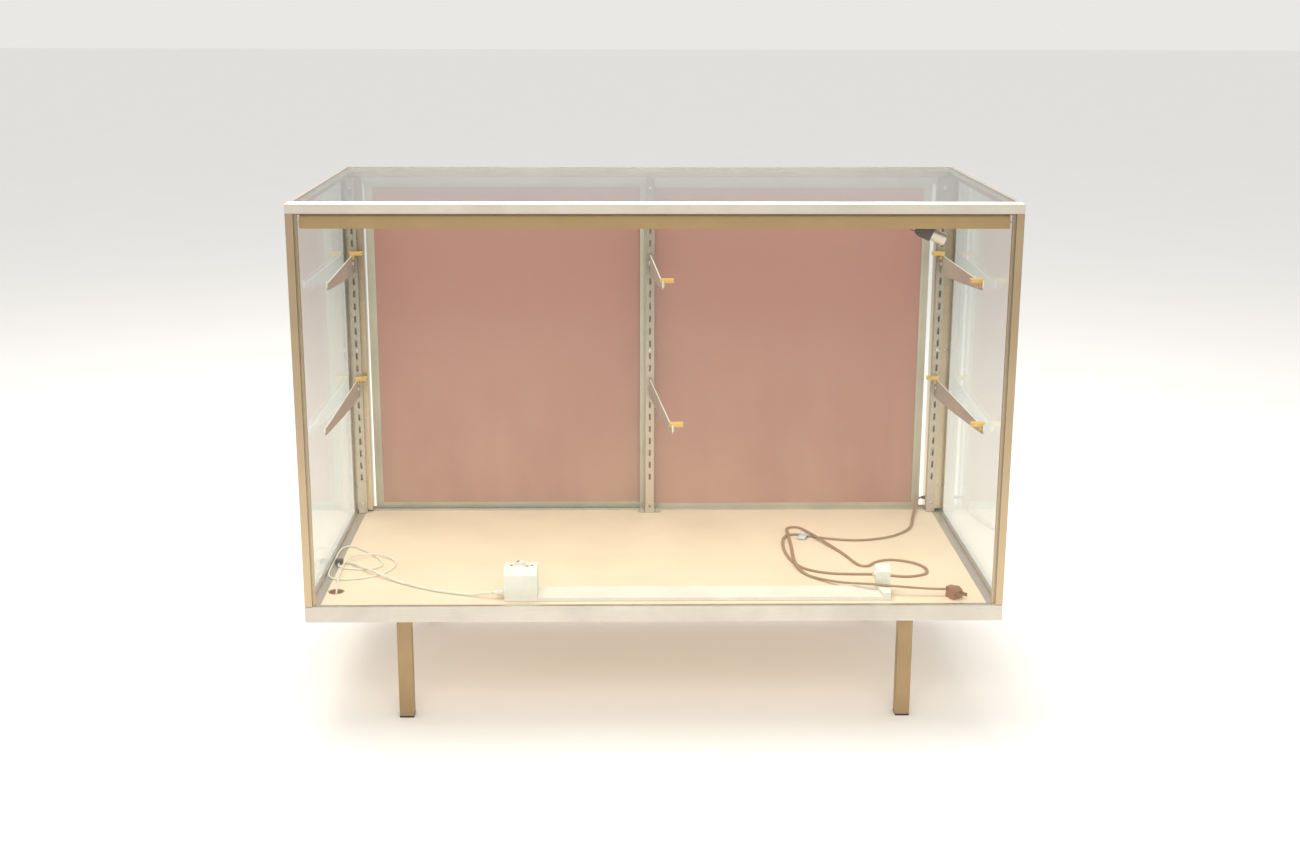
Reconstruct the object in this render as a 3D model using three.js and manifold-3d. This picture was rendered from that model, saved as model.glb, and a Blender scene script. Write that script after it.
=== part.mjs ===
// Lit glass display showcase: aluminium frame, glass on three sides and top, sliding rear doors,
// slotted standards with shelf brackets, square legs, and its two lights with their cords.
// Millimetres, +Z up, standing on z = 0, front facing -Y, centred on x = 0 and y = 0.
import * as THREE from 'three';
import { mergeVertices } from 'three/addons/utils/BufferGeometryUtils.js';
import Module from 'manifold-3d';

const wasm = await Module();
wasm.setup();

// Overall size.
const WIDTH = 1219.2;
const DEPTH = 609.6;
const HEIGHT = 932;
const LEG_HEIGHT = 200;
const GAP = 0.3;

// Frame members.
const TOP_RAIL_HEIGHT = 19;
const TOP_RAIL_WIDTH = 12.5;
const TOP_LEDGE_WIDTH = 6.5;
const TOP_GLASS_RECESS = 1;
const TOP_GLASS_THICKNESS = 6;
const BOTTOM_RAIL_HEIGHT = 28.5;
const BOTTOM_RAIL_WIDTH = 23;
const BOTTOM_RAIL_LIP = 7;
const DECK_LEDGE_WIDTH = 6;
const POST_SIZE = 13;
const POST_BEAD = 5;
const GLASS_THICKNESS = 5;
const GLASS_INSET = 1.6;
const REAR_POST_WIDTH = 36.6;
const REAR_POST_DEPTH = 31.6;
const REAR_POST_LIP = 12;
const RAIL_WALL = 2;

// Deck.
const DECK_THICKNESS = 16;
const DECK_TOP = LEG_HEIGHT + 24;
const CORD_HOLE_RADIUS = 13;
const CORD_HOLE = [-570, -212.8];

// Legs.
const LEG_SIZE = 25.4;
const LEG_WALL = 1.6;
const LEG_X = { left: -445, right: 449 };
const LEG_SETBACK = 46;
const LEG_PLATE = [70, 44, 3];
const GLIDE_HEIGHT = 3;
const GLIDE_PLUG_HEIGHT = 10;

// Shelf standards: slotted channels on a 25.4 mm slot pitch.
const STANDARD_WIDTH = 17;
const STANDARD_DEPTH = 9.7;
const STANDARD_WALL = 1.2;
const STANDARD_FRONT = 263.2;
const STANDARD_X = { left: -591.5, centre: 0, right: 582.5 };
const SLOT_PITCH = 25.4;
const SLOT_COUNT = 24;
const SLOT_SIZE = [4, 13];
const FIRST_SLOT_Z = 301;

// Shelf brackets and their plastic rests.
const BRACKET_THICKNESS = 2;
const BRACKET_ROOT_DEPTH = 38;
const BRACKET_TIP_DEPTH = 10;
const BRACKET_RISE = 3;
const REST_SPAN = [-4.5, 20.5];
const REST_LENGTH = 12;
const REST_SETBACK = { root: 2, tip: 20.5 };
const BRACKETS = [
  { name: 'upper', slot: 18, reach: 356, skew: { left: 1.4, centre: 2.7, right: 1.5 } },
  { name: 'lower', slot: 8, reach: 407, skew: { left: 0.4, centre: 4.8, right: 1.8 } },
];
const BAYS = [
  { name: 'left', x: STANDARD_X.left, restAt: 'root', restSide: 1 },
  { name: 'centre', x: STANDARD_X.centre, restAt: 'tip', restSide: 1 },
  { name: 'right', x: STANDARD_X.right, restAt: 'tip', restSide: -1 },
];

// Sliding doors and their tracks.
const DOOR_WIDTH = 582;
const DOOR_BOTTOM = 222.6;
const DOOR_TOP = 908;
const DOOR_THICKNESS = 7;
const DOOR_STILE = 16;
const DOOR_GROOVE = [8, 1.5];
const PANEL_THICKNESS = 3.2;
const PANEL_TUCK = 9;
const DOORS = [
  { name: 'left', left: -568.5, front: 295.6 },
  { name: 'right', left: -20, front: 285.8 },
];
const TRACK_FRONT = 283.8;
const TRACK_DEPTH = 20.7;
const TRACK_WALL = 1.2;
const TRACK_HALF_LENGTH = 572.6;
const TRACK_SEAT = LEG_HEIGHT + 20;
const BOTTOM_TRACK_HEIGHT = 7.2;
const TOP_TRACK_HEIGHT = 13.5;

// Top light behind the front rail.
const VALANCE_HALF_LENGTH = 589;
const VALANCE_FRONT = -290.8;
const LAMP_RADIUS = 12.7;
const LAMP_X = [-476, 438];
const LAMP_AXIS = [-264.8, 896];
const LAMPHOLDER_LENGTH = { left: 15, right: 34 };
const SOCKET_AT = [452, 880];
const STARTER_TILT = 25;
const STARTER_RADIUS = 10.5;
const STARTER_LENGTH = 25;
const SOCKET_LOW = [-10, -11, -12.5];
const SOCKET_HIGH = [12, 11, 8];

// Strip light lying on the deck.
const STRIP_FRONT = -266.3;
const STRIP_DEPTH = 60;
const STRIP_TRAY_HEIGHT = 6;
const STRIP_BOX_X = [-265, -207.3];
const STRIP_END_X = [398.5, 424.5];
const STRIP_END_STEP = 45.3;
const STRIP_END_FOOT = 13.2;
const STRIP_END_RISE = [36.5, 47.7];
const STRIP_HEIGHT = 57.7;
const STRIP_STARTER_AT = [-238, -236.3];
const STRIP_STARTER_RADIUS = 8.5;
const STRIP_STARTER_RISE = 6;

// Cords. The white supply cord of the strip light ends in a splice, and a thinner one goes on from
// it into the deck hole. The brown one runs from its bushing in the right rear post to the plug.
const SUPPLY_RADIUS = 2.5;
const LEAD_RADIUS = 1.7;
const BROWN_RADIUS = 1.6;
const CORD_SIDES = 8;
const SUPPLY_STEPS = 34;
const LEAD_STEPS = 80;
const BROWN_STEPS = 80;
const SPLICE_SIZE = [14, 12, 8];
const SPLICE_AT = [-589, -57.5];
const BUSHING_AT = [572.7, 278.6, DECK_TOP + 27];
const BUSHING_LENGTH = 8;
const PLUG_AT = [525.3, -243];
const PLUG_TURN = -50;
const PLUG_LENGTH = 23;
const PLUG_HEIGHT = 19;
const PLUG_ENTRY = 12;
const PLUG_SLOPE = 35;
const BLADE_SIZE = [14, 1.5, 6.4];
const BLADE_SPACING = 12.7;

const aluminium = { color: '#cfc6b2', roughness: 0.35, metalness: 0.9 };
const steel = { color: '#b3a893', roughness: 0.4, metalness: 0.85 };
const glass = { color: '#dfe9e2', roughness: 0.05, metalness: 0, transparent: true, opacity: 0.3 };
const cream = { color: '#f6e2bb', roughness: 0.7, metalness: 0 };
const rose = { color: '#bf9080', roughness: 0.35, metalness: 0 };
const gold = { color: '#b49a62', roughness: 0.5, metalness: 0.3 };
const amber = { color: '#e0b55a', roughness: 0.3, metalness: 0 };
const white = { color: '#f5f2e6', roughness: 0.45, metalness: 0 };
const brown = { color: '#8c6a4e', roughness: 0.6, metalness: 0 };
const bakelite = { color: '#3a2a20', roughness: 0.4, metalness: 0 };
const black = { color: '#1c1a18', roughness: 0.5, metalness: 0 };
const tanPaint = { color: '#c8a873', roughness: 0.45, metalness: 0.4 };

const showcase = new THREE.Group();

function part(name, geometry, material, parent = showcase) {
  const mesh = new THREE.Mesh(geometry, new THREE.MeshStandardMaterial(material));
  mesh.name = name;
  parent.add(mesh);
  return mesh;
}

// Solids from three.js geometry, joined and cut by manifold-3d.
function toSolid(geometry) {
  const bare = geometry.index ? geometry.toNonIndexed() : geometry.clone();
  bare.deleteAttribute('normal');
  bare.deleteAttribute('uv');
  const merged = mergeVertices(bare, 1e-4);
  return new wasm.Manifold(new wasm.Mesh({
    numProp: 3,
    vertProperties: Float32Array.from(merged.attributes.position.array),
    triVerts: Uint32Array.from(merged.index.array),
  }));
}

function toGeometry(solid) {
  const mesh = solid.getMesh();
  const geometry = new THREE.BufferGeometry();
  geometry.setAttribute('position', new THREE.BufferAttribute(mesh.vertProperties, 3));
  geometry.setIndex(new THREE.BufferAttribute(mesh.triVerts, 1));
  return geometry;
}

function cut(geometry, ...tools) {
  return toGeometry(tools.reduce((solid, tool) => solid.subtract(toSolid(tool)), toSolid(geometry)));
}

function join(geometry, ...others) {
  return toGeometry(others.reduce((solid, other) => solid.add(toSolid(other)), toSolid(geometry)));
}

// A box between two corners.
function block(low, high) {
  const size = high.map((value, axis) => value - low[axis]);
  const geometry = new THREE.BoxGeometry(...size);
  return geometry.translate(...low.map((value, axis) => value + size[axis] / 2));
}

function outline(points) {
  return new THREE.Shape(points.map(([x, y]) => new THREE.Vector2(x, y)));
}

function rectangle(low, high) {
  return outline([low, [high[0], low[1]], high, [low[0], high[1]]]);
}

function extrude(shape, length) {
  return new THREE.ExtrudeGeometry(shape, { depth: length, bevelEnabled: false, curveSegments: 6 });
}

// A section drawn in (y, z) and drawn out along +X from x = from.
function alongX(shape, from, length) {
  const place = new THREE.Matrix4().makeBasis(
    new THREE.Vector3(0, 1, 0), new THREE.Vector3(0, 0, 1), new THREE.Vector3(1, 0, 0));
  return extrude(shape, length).applyMatrix4(place).translate(from, 0, 0);
}

// A section drawn in (inward distance, z), drawn out along one side of the case and mitred at both
// ends. Each quarter turn moves on one side: front, right, rear, left.
function mitredRail(shape, quarterTurns) {
  const length = quarterTurns % 2 ? DEPTH : WIDTH;
  const reach = quarterTurns % 2 ? WIDTH : DEPTH;
  const geometry = extrude(shape, length);
  const position = geometry.attributes.position;
  for (let i = 0; i < position.count; i += 1) {
    const shift = position.getX(i) + GAP / 2;
    const start = position.getZ(i) < length / 2;
    position.setZ(i, position.getZ(i) + (start ? shift : -shift));
  }
  const place = new THREE.Matrix4().makeBasis(
    new THREE.Vector3(0, 1, 0), new THREE.Vector3(0, 0, 1), new THREE.Vector3(1, 0, 0));
  geometry.applyMatrix4(place).translate(-length / 2, -reach / 2, 0);
  return geometry.rotateZ(quarterTurns * Math.PI / 2);
}

const SIDES = ['front', 'right', 'rear', 'left'];

function topRails() {
  const under = HEIGHT - TOP_RAIL_HEIGHT;
  const seat = HEIGHT - TOP_GLASS_RECESS - TOP_GLASS_THICKNESS - GAP;
  const ledgeEnd = TOP_RAIL_WIDTH + TOP_LEDGE_WIDTH;
  const section = outline([
    [0, under], [TOP_RAIL_WIDTH, under], [TOP_RAIL_WIDTH, seat - RAIL_WALL], [ledgeEnd, seat - RAIL_WALL],
    [ledgeEnd, seat], [TOP_RAIL_WIDTH, seat], [TOP_RAIL_WIDTH, HEIGHT], [6, HEIGHT], [0, HEIGHT - 3.5],
  ]);
  section.holes.push(rectangle([RAIL_WALL, under + RAIL_WALL], [TOP_RAIL_WIDTH - RAIL_WALL, seat - RAIL_WALL]));
  SIDES.forEach((side, turns) => part(`top_rail_${side}`, mitredRail(section, turns), aluminium));
}

function bottomRailSection() {
  const low = LEG_HEIGHT;
  const top = LEG_HEIGHT + BOTTOM_RAIL_HEIGHT;
  const seat = DECK_TOP - DECK_THICKNESS - GAP;
  const ledgeEnd = BOTTOM_RAIL_WIDTH + DECK_LEDGE_WIDTH;
  const section = outline([
    [0, low], [BOTTOM_RAIL_WIDTH, low], [BOTTOM_RAIL_WIDTH, low + 4], [ledgeEnd, low + 4],
    [ledgeEnd, seat], [BOTTOM_RAIL_WIDTH, seat], [BOTTOM_RAIL_WIDTH, DECK_TOP], [BOTTOM_RAIL_LIP, DECK_TOP],
    [BOTTOM_RAIL_LIP, top], [1.5, top], [0, top - 1.5],
  ]);
  section.holes.push(rectangle(
    [RAIL_WALL, low + RAIL_WALL], [BOTTOM_RAIL_WIDTH - RAIL_WALL, TRACK_SEAT - RAIL_WALL]));
  return section;
}

function bottomRails() {
  const section = bottomRailSection();
  const trackNotch = block(
    [-TRACK_HALF_LENGTH - GAP, TRACK_FRONT - GAP, TRACK_SEAT],
    [TRACK_HALF_LENGTH + GAP, DEPTH / 2 + 1, HEIGHT / 2]);
  SIDES.forEach((side, turns) => {
    const rail = mitredRail(section, turns);
    part(`bottom_rail_${side}`, side === 'rear' ? cut(rail, trackNotch) : rail, aluminium);
  });
}

// Post sections are drawn in distances inward from the outer side face and the front or rear face.
function posts() {
  const bottom = LEG_HEIGHT + BOTTOM_RAIL_HEIGHT + GAP;
  const length = HEIGHT - TOP_RAIL_HEIGHT - GAP - bottom;
  const bead = GLASS_INSET + GLASS_THICKNESS + GAP;
  const tip = POST_SIZE + POST_BEAD;
  const front = outline([
    [0, 1], [1, 0], [POST_SIZE, 0], [POST_SIZE, bead], [tip, bead], [tip, POST_SIZE],
    [POST_SIZE, POST_SIZE], [POST_SIZE, tip], [bead, tip], [bead, POST_SIZE], [0, POST_SIZE],
  ]);
  const bore = POST_SIZE - RAIL_WALL;
  front.holes.push(rectangle([RAIL_WALL, RAIL_WALL], [bore, bore]));
  const lip = GLASS_INSET - GAP;
  const rear = outline([
    [0, 1], [1, 0], [REAR_POST_WIDTH, 0], [REAR_POST_WIDTH, REAR_POST_DEPTH], [lip, REAR_POST_DEPTH],
    [lip, REAR_POST_DEPTH + REAR_POST_LIP], [0, REAR_POST_DEPTH + REAR_POST_LIP],
  ]);
  rear.holes.push(rectangle(
    [RAIL_WALL, RAIL_WALL], [REAR_POST_WIDTH - RAIL_WALL, REAR_POST_DEPTH - RAIL_WALL]));
  const corners = [
    ['front_left', front, [-1, -1]], ['front_right', front, [1, -1]],
    ['rear_left', rear, [-1, 1]], ['rear_right', rear, [1, 1]],
  ];
  for (const [name, section, [sideX, sideY]] of corners) {
    const place = (points) => {
      const placed = points.map(({ x, y }) => [sideX * (WIDTH / 2 - x), sideY * (DEPTH / 2 - y)]);
      return outline(sideX === sideY ? placed : placed.reverse());
    };
    const placed = place(section.getPoints());
    placed.holes.push(...section.holes.map((hole) => place(hole.getPoints())));
    part(`post_${name}`, extrude(placed, length).translate(0, 0, bottom), aluminium);
  }
}

function glassPanes() {
  const bottom = LEG_HEIGHT + BOTTOM_RAIL_HEIGHT + GAP;
  const top = HEIGHT - TOP_RAIL_HEIGHT - GAP;
  const paneX = WIDTH / 2 - POST_SIZE - GAP;
  const front = -DEPTH / 2 + GLASS_INSET;
  part('glass_front', block([-paneX, front, bottom], [paneX, front + GLASS_THICKNESS, top]), glass);
  const outer = WIDTH / 2 - GLASS_INSET;
  const sideFront = -DEPTH / 2 + POST_SIZE + GAP;
  const sideRear = DEPTH / 2 - REAR_POST_DEPTH - GAP;
  part('glass_left', block([-outer, sideFront, bottom], [-outer + GLASS_THICKNESS, sideRear, top]), glass);
  part('glass_right', block([outer - GLASS_THICKNESS, sideFront, bottom], [outer, sideRear, top]), glass);
  const topX = WIDTH / 2 - TOP_RAIL_WIDTH - GAP;
  const topY = DEPTH / 2 - TOP_RAIL_WIDTH - GAP;
  const topZ = HEIGHT - TOP_GLASS_RECESS;
  part('glass_top', block([-topX, -topY, topZ - TOP_GLASS_THICKNESS], [topX, topY, topZ]), glass);
}

function deck() {
  const x = WIDTH / 2 - BOTTOM_RAIL_WIDTH - GAP;
  const y = DEPTH / 2 - BOTTOM_RAIL_WIDTH - GAP;
  const shape = rectangle([-x, -y], [x, y]);
  const hole = new THREE.Path();
  hole.absarc(CORD_HOLE[0], CORD_HOLE[1], CORD_HOLE_RADIUS, 0, 2 * Math.PI, true);
  shape.holes.push(hole);
  part('deck_panel', extrude(shape, DECK_THICKNESS).translate(0, 0, DECK_TOP - DECK_THICKNESS), cream);
}

function legs() {
  const plateTop = DECK_TOP - DECK_THICKNESS - GAP;
  const plateLow = plateTop - LEG_PLATE[2];
  const half = LEG_SIZE / 2;
  const inner = half - LEG_WALL;
  const plug = inner - GAP;
  const tube = block([-half, -half, GLIDE_HEIGHT + GAP], [half, half, plateLow + 1]);
  const plate = block(
    [-LEG_PLATE[0] / 2, -LEG_PLATE[1] / 2, plateLow], [LEG_PLATE[0] / 2, LEG_PLATE[1] / 2, plateTop]);
  const bore = block([-inner, -inner, 0], [inner, inner, plateLow - 1]);
  const legShape = cut(join(tube, plate), bore);
  const glide = join(
    block([-half, -half, 0], [half, half, GLIDE_HEIGHT]),
    block([-plug, -plug, GLIDE_HEIGHT - 1], [plug, plug, GLIDE_HEIGHT + GLIDE_PLUG_HEIGHT]));
  const legY = DEPTH / 2 - LEG_SETBACK - half;
  for (const [yName, ySide] of [['front', -1], ['rear', 1]]) {
    for (const [xName, x] of Object.entries(LEG_X)) {
      const group = new THREE.Group();
      group.position.set(x, ySide * legY, 0);
      showcase.add(group);
      part(`leg_${yName}_${xName}`, legShape, tanPaint, group);
      part(`foot_glide_${yName}_${xName}`, glide, black, group);
    }
  }
}

const slotZ = (index) => FIRST_SLOT_Z + index * SLOT_PITCH;

function standards() {
  const bottom = DECK_TOP + 0.8;
  const top = HEIGHT - TOP_RAIL_HEIGHT - GAP;
  const half = STANDARD_WIDTH / 2;
  const body = block([-half, 0, bottom], [half, STANDARD_DEPTH, top]);
  const inside = block(
    [-half + STANDARD_WALL, STANDARD_WALL, bottom - 1], [half - STANDARD_WALL, STANDARD_DEPTH + 1, top + 1]);
  const slots = [];
  for (let i = 0; i < SLOT_COUNT; i += 1) {
    slots.push(block(
      [-SLOT_SIZE[0] / 2, -1, slotZ(i) - SLOT_SIZE[1] / 2],
      [SLOT_SIZE[0] / 2, STANDARD_WALL + 1, slotZ(i) + SLOT_SIZE[1] / 2]));
  }
  const shape = cut(body, inside, ...slots);
  for (const { name, x } of BAYS) {
    part(`standard_${name}`, shape, steel).position.set(x, STANDARD_FRONT, 0);
  }
}

// The blade is drawn in (forward reach, height above the upper slot's centre).
function bracketBlade(reach) {
  const root = GAP;
  const hook = (centre) => [
    [root, centre + 1.3], [-4.5, centre + 1.3], [-4.5, centre - 9.7],
    [-1.6, centre - 9.7], [-1.6, centre - 5.7], [root, centre - 5.7],
  ];
  const shape = outline([
    [root, BRACKET_RISE], ...hook(0), ...hook(-SLOT_PITCH), [root, BRACKET_RISE - BRACKET_ROOT_DEPTH],
  ]);
  shape.quadraticCurveTo(reach * 0.25, -BRACKET_ROOT_DEPTH * 0.86, reach - 10, -BRACKET_TIP_DEPTH);
  shape.quadraticCurveTo(reach, -BRACKET_TIP_DEPTH, reach, -4);
  shape.lineTo(reach, 9);
  shape.lineTo(reach - 2.5, 9);
  shape.quadraticCurveTo(reach - 3, BRACKET_RISE, reach - 8, BRACKET_RISE);
  shape.closePath();
  const place = new THREE.Matrix4().makeBasis(
    new THREE.Vector3(0, -1, 0), new THREE.Vector3(0, 0, 1), new THREE.Vector3(-1, 0, 0));
  return extrude(shape, BRACKET_THICKNESS).applyMatrix4(place).translate(BRACKET_THICKNESS / 2, 0, 0);
}

// A two-tier plastic shelf rest on the blade's top edge, z = 0 being that edge. Its plate reaches
// out to one side of the blade, where a stem clips down against the blade's face.
function shelfRest(side) {
  const [low, high] = REST_SPAN;
  const clip = BRACKET_THICKNESS / 2 + GAP;
  const profile = [
    [clip, GAP], [clip, -8], [clip + 3.2, -8], [clip + 3.2, GAP], [high, GAP], [high, 3.3],
    [high - 2, 3.3], [high - 2, 4.8], [high, 4.8], [high, 7.3],
    [low, 7.3], [low, 4.8], [low + 2, 4.8], [low + 2, 3.3], [low, 3.3], [low, GAP],
  ];
  const sided = profile.map(([x, z]) => [side * x, z]);
  return extrude(outline(side > 0 ? sided : sided.reverse()), REST_LENGTH).rotateX(Math.PI / 2);
}

function brackets() {
  for (const { name, slot, reach, skew } of BRACKETS) {
    const blade = bracketBlade(reach);
    for (const bay of BAYS) {
      const group = new THREE.Group();
      group.position.set(bay.x, STANDARD_FRONT, slotZ(slot));
      group.rotation.z = THREE.MathUtils.degToRad(skew[bay.name]);
      showcase.add(group);
      part(`bracket_${name}_${bay.name}`, blade, steel, group);
      const back = bay.restAt === 'root' ? -REST_SETBACK.root : REST_SETBACK.tip - reach;
      const rest = part(`shelf_rest_${name}_${bay.name}`, shelfRest(bay.restSide), amber, group);
      rest.position.set(0, back, BRACKET_RISE);
    }
  }
}

// Door parts are drawn in (x, z) from the door's lower left corner and drawn out along +Y.
function doorRing(inset, width, thickness) {
  const height = DOOR_TOP - DOOR_BOTTOM;
  const ring = rectangle([inset, inset], [DOOR_WIDTH - inset, height - inset]);
  const inner = inset + width;
  ring.holes.push(rectangle([inner, inner], [DOOR_WIDTH - inner, height - inner]));
  return extrude(ring, thickness).translate(0, 0, -thickness / 2).rotateX(Math.PI / 2);
}

function doors() {
  const height = DOOR_TOP - DOOR_BOTTOM;
  const [grooveAt, grooveWidth] = DOOR_GROOVE;
  const tuck = DOOR_STILE - PANEL_TUCK;
  const panelSlot = block(
    [tuck, -PANEL_THICKNESS / 2 - GAP, tuck],
    [DOOR_WIDTH - tuck, PANEL_THICKNESS / 2 + GAP, height - tuck]);
  const frame = cut(
    join(
      doorRing(0, DOOR_STILE, DOOR_THICKNESS - 1.6),
      doorRing(0, grooveAt, DOOR_THICKNESS),
      doorRing(grooveAt + grooveWidth, DOOR_STILE - grooveAt - grooveWidth, DOOR_THICKNESS)),
    panelSlot);
  const panel = block(
    [tuck + GAP, -PANEL_THICKNESS / 2, tuck + GAP],
    [DOOR_WIDTH - tuck - GAP, PANEL_THICKNESS / 2, height - tuck - GAP]);
  for (const { name, left, front } of DOORS) {
    const group = new THREE.Group();
    group.position.set(left, front + DOOR_THICKNESS / 2, DOOR_BOTTOM);
    showcase.add(group);
    part(`door_frame_${name}`, frame, aluminium, group);
    part(`door_panel_${name}`, panel, rose, group);
  }
}

// Twin-channel track: a web with three lips, drawn with the web at z = 0 and lips upward.
function trackSection(height) {
  const middle = TRACK_DEPTH / 2;
  const wall = TRACK_WALL;
  return [
    [0, 0], [TRACK_DEPTH, 0], [TRACK_DEPTH, height], [TRACK_DEPTH - wall, height], [TRACK_DEPTH - wall, wall],
    [middle + wall / 2, wall], [middle + wall / 2, height], [middle - wall / 2, height],
    [middle - wall / 2, wall], [wall, wall], [wall, height], [0, height],
  ];
}

function tracks() {
  const lower = trackSection(BOTTOM_TRACK_HEIGHT).map(([y, z]) => [TRACK_FRONT + y, TRACK_SEAT + GAP + z]);
  const ceiling = HEIGHT - TOP_RAIL_HEIGHT - GAP;
  const upper = trackSection(TOP_TRACK_HEIGHT).map(([y, z]) => [TRACK_FRONT + y, ceiling - z]);
  const length = 2 * TRACK_HALF_LENGTH;
  part('door_track_bottom', alongX(outline(lower), -TRACK_HALF_LENGTH, length), aluminium);
  part('door_track_top', alongX(outline(upper), -TRACK_HALF_LENGTH, length), aluminium);
}

function topLight() {
  const y = VALANCE_FRONT;
  const top = HEIGHT - TOP_RAIL_HEIGHT - 1.3;
  const lip = HEIGHT - 45.5;
  const valance = outline([
    [y + 48, top], [y + 4, top], [y + 4, top - 4.7], [y, top - 4.7], [y, lip], [y + 9, lip],
    [y + 9, lip + 1], [y + 1, lip + 1], [y + 1, top - 5.7], [y + 5, top - 5.7], [y + 5, top - 1],
    [y + 48, top - 1],
  ]);
  part('light_valance', alongX(valance, -VALANCE_HALF_LENGTH, 2 * VALANCE_HALF_LENGTH), gold);

  const [axisY, axisZ] = LAMP_AXIS;
  const [lampLeft, lampRight] = LAMP_X;
  const tube = new THREE.CylinderGeometry(LAMP_RADIUS, LAMP_RADIUS, lampRight - lampLeft, 20);
  part('lamp_tube', tube.rotateZ(Math.PI / 2), white).position.set((lampLeft + lampRight) / 2, axisY, axisZ);
  const holder = (length) => block([GAP, -11, -11], [length, 11, 14.5]);
  const left = part('lampholder_left', holder(LAMPHOLDER_LENGTH.left).rotateZ(Math.PI), bakelite);
  left.position.set(lampLeft, axisY, axisZ);

  // The right lampholder carries the starter socket, tipped down towards the right.
  const tilt = THREE.MathUtils.degToRad(STARTER_TILT);
  const [socketX, socketZ] = SOCKET_AT;
  const socket = block(SOCKET_LOW, SOCKET_HIGH).rotateY(tilt);
  socket.translate(socketX - lampRight, 0, socketZ - axisZ);
  const right = part('lampholder_right', join(holder(LAMPHOLDER_LENGTH.right), socket), bakelite);
  right.position.set(lampRight, axisY, axisZ);
  const can = new THREE.CylinderGeometry(STARTER_RADIUS, STARTER_RADIUS, STARTER_LENGTH, 20);
  can.rotateZ(Math.PI / 2).translate(SOCKET_HIGH[0] + GAP + STARTER_LENGTH / 2, 0, 0);
  const starter = part('starter', can, steel);
  starter.position.set(socketX, axisY, socketZ);
  starter.rotation.y = tilt;
}

function stripLight() {
  const base = DECK_TOP + GAP;
  const front = STRIP_FRONT;
  const rear = front + STRIP_DEPTH;
  const top = base + STRIP_HEIGHT;
  const shoulder = top - 10.6;
  const wall = 1.5;
  const boxProfile = (inset, floor) => outline([
    [front + inset, floor], [rear - inset, floor], [rear - inset, shoulder - inset / 2],
    [rear - 16.6 - inset / 2, top - inset], [front + 16.6 + inset / 2, top - inset],
    [front + inset, shoulder - inset / 2],
  ]);
  const [left, right] = STRIP_BOX_X;
  const relief = new THREE.CylinderGeometry(3, 6, 22, 16).rotateZ(Math.PI / 2);
  relief.translate(left - 10, -248.8, base + 10);
  const shell = join(alongX(boxProfile(0, base), left, right - left), relief);
  const hollow = alongX(boxProfile(wall, base - 1), left + wall, right - left - 2 * wall);
  const holeRadius = STRIP_STARTER_RADIUS + 1.5;
  const hole = new THREE.CylinderGeometry(holeRadius, holeRadius, 12, 24).rotateX(Math.PI / 2);
  hole.translate(...STRIP_STARTER_AT, top);
  part('strip_light_box', cut(shell, hollow, hole), white);

  const starterLength = STRIP_HEIGHT + STRIP_STARTER_RISE - wall;
  const can = new THREE.CylinderGeometry(STRIP_STARTER_RADIUS, STRIP_STARTER_RADIUS, starterLength, 24);
  const starter = part('strip_light_starter', can.rotateX(Math.PI / 2), white);
  starter.position.set(...STRIP_STARTER_AT, top + STRIP_STARTER_RISE - starterLength / 2);

  const trayTop = base + STRIP_TRAY_HEIGHT;
  const tray = outline([
    [front, base], [front + 1, base], [front + 1, trayTop - 1], [rear - 1, trayTop - 1], [rear - 1, base],
    [rear, base], [rear, trayTop], [front, trayTop],
  ]);
  // The end holder: a low foot narrowing to the front, and an upright with a sloping top behind it.
  const [endLeft, endRight] = STRIP_END_X;
  const upright = outline([
    [front + STRIP_END_STEP, trayTop - 0.5], [rear, trayTop - 0.5], [rear, base + STRIP_END_RISE[1]],
    [front + STRIP_END_STEP, base + STRIP_END_RISE[0]],
  ]);
  const foot = outline([
    [endLeft + 7.5, front], [endRight - 5.5, front], [endRight, front + STRIP_END_STEP + 1],
    [endLeft, front + STRIP_END_STEP + 1],
  ]);
  const footHeight = base + STRIP_END_FOOT - trayTop + 0.5;
  const trayStart = right + GAP;
  const channel = join(
    alongX(tray, trayStart, endRight - 5.5 - trayStart),
    alongX(upright, endLeft, endRight - endLeft),
    extrude(foot, footHeight).translate(0, 0, trayTop - 0.5));
  part('strip_light_channel', channel, white);
}

// Cord routes. Each point is [x, y, lift], the lift being the clear height under the cord, or
// [x, y, lift, z] where the cord is on its way down from or into something at height z.
const SUPPLY_ROUTE = [
  [-286.9, -248.8, 0, 234.3], [-294, -247.6, 0, 233.4], [-302, -246, 0, 232.2], [-316, -242.5, 2.6],
  [-332, -238, 0.9], [-358, -229, 0.2], [-386, -218, 0.1], [-409, -205.5, 0.1], [-432, -191, 0.1],
  [-453, -176.5, 0.2], [-474, -160, 1], [-508, -130, 4], [-541, -95, 4], [-556, -74, 1.4],
  [-567, -62, 0.1], [-581.2, -57.5, 0],
];

const LEAD_ROUTE = [
  [-589, -63.8, 0], [-588, -74, 0], [-580, -86, 0], [-566, -93, 0], [-541, -96, 0], [-519, -91, 0],
  [-507, -74, 0], [-512, -49, 0], [-526, -21, 0], [-552, 13, 0], [-571, 34, 0], [-584, 40, 0],
  [-595, 31, 0], [-599.5, 6, 0], [-599.5, -40, 0], [-598.5, -118, 0], [-591, -143, 0], [-572, -152, 0],
  [-540, -148, 0], [-509, -131, 0], [-490, -106, 0], [-482, -73, 0], [-488, -45, 0.6], [-506, -26, 2.6],
  [-526, -20, 4], [-550, -27, 5.6], [-568, -45, 7.2], [-575, -64, 6], [-578, -88, 4], [-577, -120, 3],
  [-576, -151, 4], [-573, -180, 1], [-571, -199, 0.3], [-570, -208, 0, 223.6], [-570, -214.6, 0, 217],
  [-570, -217, 0, 208.6],
];

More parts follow.
